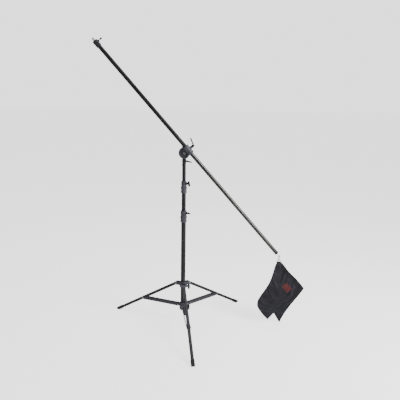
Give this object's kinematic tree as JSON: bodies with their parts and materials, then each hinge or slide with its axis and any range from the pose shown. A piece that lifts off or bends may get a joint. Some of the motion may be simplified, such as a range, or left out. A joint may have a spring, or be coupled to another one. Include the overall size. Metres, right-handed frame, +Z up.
{
  "type": "boom light stand",
  "caption": "Folding tripod light stand with two telescopic risers, a tilting boom head, a long boom with a stud on its tip and an empty sandbag hung on its tail.",
  "frame": {"origin": "bottom centre of the whole stand's box, on the floor; the column's axis stands -155.8 mm along X and 110.4 mm along Y from it", "axes": "+Z up the column, +X towards the boom's tail and the sandbag, -Y towards the side with the tilt bolt's head"},
  "size_m": [1.5466, 0.943, 2.0844],
  "materials": {
    "black_tube": "black anodised, satin",
    "boom_black": "black anodised, satin",
    "boom_grey": "dark grey anodised, semi-gloss",
    "cast_grey": "dark grey painted die casting",
    "cast_black": "black painted die casting",
    "brace_steel": "dark grey painted channel",
    "black_plastic": "moulded, matte",
    "lever_metal": "black painted die casting",
    "nylon": "nylon",
    "steel": "zinc plated",
    "chrome": "bright plated",
    "foot_rubber": "moulded rubber",
    "bag_fabric": "coarse black nylon"
  },
  "bodies": {
    "column": {"main_tube": "black_tube", "column_plug": "black_plastic", "lower_collar": "cast_grey", "lower_collar_bush": "nylon", "brace_pins": "steel", "main_clamp": "cast_grey", "main_clamp_bush": "nylon"},
    "leg_collar": {"leg_collar": "cast_grey", "leg_collar_bush": "nylon", "leg_pins": "steel"},
    "middle_riser": {"middle_riser": "black_tube", "middle_riser_guide": "nylon", "middle_clamp": "cast_grey", "middle_clamp_bush": "nylon"},
    "top_riser": {"top_riser": "black_tube", "top_riser_guide": "nylon", "riser_spigot": "cast_black", "riser_spigot_screw": "steel"},
    "head": {"head_receiver": "cast_black", "tilt_bolt": "steel"},
    "boom_sleeve": {"boom_sleeve": "cast_grey", "boom_liner": "nylon"},
    "boom": {"boom_front_tube": "boom_black", "boom_rear_tube": "boom_grey", "boom_ferrule": "boom_grey", "boom_socket": "cast_black", "boom_spigot": "chrome", "boom_end_cap": "black_plastic", "boom_eye": "chrome"},
    "bag_link": {"bag_link": "chrome"},
    "sandbag": {"sandbag": "bag_fabric", "bag_ring": "chrome"},
    "receiver_lever": {"receiver_lever": "lever_metal"},
    "boom_lock_lever": {"boom_lock_lever": "lever_metal"},
    "tilt_handle": {"tilt_handle": "lever_metal"},
    "spigot_knob": {"spigot_knob": "black_plastic", "spigot_screw_bar": "steel"},
    "leg_1": {"leg_tube_1": "black_tube", "leg_hinge_block_1": "cast_grey", "foot_1": "foot_rubber"},
    "brace_1": {"brace_1": "brace_steel", "brace_rivets_1": "steel"},
    "leg_2": {"leg_tube_2": "black_tube", "leg_hinge_block_2": "cast_grey", "foot_2": "foot_rubber"},
    "brace_2": {"brace_2": "brace_steel", "brace_rivets_2": "steel"},
    "leg_3": {"leg_tube_3": "black_tube", "leg_hinge_block_3": "cast_grey", "foot_3": "foot_rubber"},
    "brace_3": {"brace_3": "brace_steel", "brace_rivets_3": "steel"},
    "leg_collar_knob": {"leg_collar_knob": "black_plastic", "leg_collar_screw": "steel"},
    "lower_collar_knob": {"lower_collar_knob": "black_plastic", "lower_collar_screw": "steel"},
    "main_clamp_knob": {"main_clamp_knob": "black_plastic", "main_clamp_screw": "steel"},
    "middle_clamp_knob": {"middle_clamp_knob": "black_plastic", "middle_clamp_screw": "steel"}
  },
  "joints": [
    {"name": "tripod_fold", "type": "slide", "parent": "column", "child": "leg_collar", "axis": [0, 0, 1], "range_m": [0, 0.46537]},
    {"name": "leg_1_hinge", "type": "hinge", "parent": "leg_collar", "child": "leg_1", "pos_m": [-0.14949, 0.05879, 0.325], "axis": [0.9925, 0.1219, 0], "range_deg": [-0.5, 56.89]},
    {"name": "leg_2_hinge", "type": "hinge", "parent": "leg_collar", "child": "leg_2", "pos_m": [-0.1143, 0.1417, 0.325], "axis": [-0.6018, 0.7986, 0], "range_deg": [-0.5, 56.89]},
    {"name": "leg_3_hinge", "type": "hinge", "parent": "leg_collar", "child": "leg_3", "pos_m": [-0.20369, 0.13072, 0.325], "axis": [-0.3907, -0.9205, 0], "range_deg": [-0.5, 56.89]},
    {"name": "brace_1_hinge", "type": "hinge", "parent": "column", "child": "brace_1", "pos_m": [-0.15144, 0.07467, 0.15], "axis": [0.9925, 0.1219, 0], "range_deg": [-85.66, 0.5]},
    {"name": "brace_2_hinge", "type": "hinge", "parent": "column", "child": "brace_2", "pos_m": [-0.12708, 0.13207, 0.15], "axis": [-0.6018, 0.7986, 0], "range_deg": [-85.66, 0.5]},
    {"name": "brace_3_hinge", "type": "hinge", "parent": "column", "child": "brace_3", "pos_m": [-0.18897, 0.12447, 0.15], "axis": [-0.3907, -0.9205, 0], "range_deg": [-85.66, 0.5]},
    {"name": "middle_riser_slide", "type": "slide", "parent": "column", "child": "middle_riser", "axis": [0, 0, 1], "range_m": [-0.128, 0.42]},
    {"name": "top_riser_slide", "type": "slide", "parent": "middle_riser", "child": "top_riser", "axis": [0, 0, 1], "range_m": [-0.112, 0.45]},
    {"name": "head_pan", "type": "hinge", "parent": "top_riser", "child": "head", "pos_m": [-0.15583, 0.11041, 1.261], "axis": [0, 0, 1], "continuous": true},
    {"name": "boom_tilt", "type": "hinge", "parent": "head", "child": "boom_sleeve", "pos_m": [-0.15583, 0.11041, 1.3235], "axis": [0, 1, 0], "range_deg": [-78, 5]},
    {"name": "boom_slide", "type": "slide", "parent": "boom_sleeve", "child": "boom", "axis": [0.6587, 0, -0.7524], "range_m": [-0.5, 0.5]},
    {"name": "bag_link_swing", "type": "hinge", "parent": "boom", "child": "bag_link", "pos_m": [0.56627, 0.09741, 0.55483], "axis": [0, 1, 0], "range_deg": [-10, 85]},
    {"name": "sandbag_swing", "type": "hinge", "parent": "bag_link", "child": "sandbag", "pos_m": [0.56627, 0.09741, 0.52133], "axis": [0, 1, 0], "range_deg": [-45, 45]},
    {"name": "leg_collar_knob_turn", "type": "hinge", "parent": "leg_collar", "child": "leg_collar_knob", "pos_m": [-0.12269, 0.09634, 0.311], "axis": [0.9205, -0.3907, 0], "range_deg": [0, 360]},
    {"name": "lower_collar_knob_turn", "type": "hinge", "parent": "column", "child": "lower_collar_knob", "pos_m": [-0.12269, 0.09634, 0.141], "axis": [0.9205, -0.3907, 0], "range_deg": [0, 360]},
    {"name": "main_clamp_knob_turn", "type": "hinge", "parent": "column", "child": "main_clamp_knob", "pos_m": [-0.13002, 0.09234, 0.887], "axis": [0.8192, -0.5736, 0], "range_deg": [0, 360]},
    {"name": "middle_clamp_knob_turn", "type": "hinge", "parent": "middle_riser", "child": "middle_clamp_knob", "pos_m": [-0.13002, 0.09234, 1.106], "axis": [0.8192, -0.5736, 0], "range_deg": [0, 360]},
    {"name": "spigot_knob_turn", "type": "hinge", "parent": "boom", "child": "spigot_knob", "pos_m": [-0.71837, 0.09741, 2.07236], "axis": [0.7524, 0, 0.6587], "range_deg": [0, 360]},
    {"name": "receiver_lever_turn", "type": "hinge", "parent": "head", "child": "receiver_lever", "pos_m": [-0.15583, 0.09201, 1.274], "axis": [0, -1, 0], "range_deg": [0, 270]},
    {"name": "boom_lock_lever_turn", "type": "hinge", "parent": "boom_sleeve", "child": "boom_lock_lever", "pos_m": [-0.10346, 0.09741, 1.36934], "axis": [0.7524, 0, 0.6587], "range_deg": [0, 270]},
    {"name": "tilt_handle_turn", "type": "hinge", "parent": "head", "child": "tilt_handle", "pos_m": [-0.15583, 0.13181, 1.3235], "axis": [0, 1, 0], "range_deg": [0, 270]}
  ],
  "couplings": [
    {"joint": "leg_1_hinge", "follows": "tripod_fold", "rad_per_m": 2.1147},
    {"joint": "leg_2_hinge", "follows": "tripod_fold", "rad_per_m": 2.1147},
    {"joint": "leg_3_hinge", "follows": "tripod_fold", "rad_per_m": 2.1147},
    {"joint": "brace_1_hinge", "follows": "tripod_fold", "rad_per_m": -3.1939},
    {"joint": "brace_2_hinge", "follows": "tripod_fold", "rad_per_m": -3.1939},
    {"joint": "brace_3_hinge", "follows": "tripod_fold", "rad_per_m": -3.1939},
    {"joint": "bag_link_swing", "follows": "boom_tilt", "ratio": -1}
  ]
}
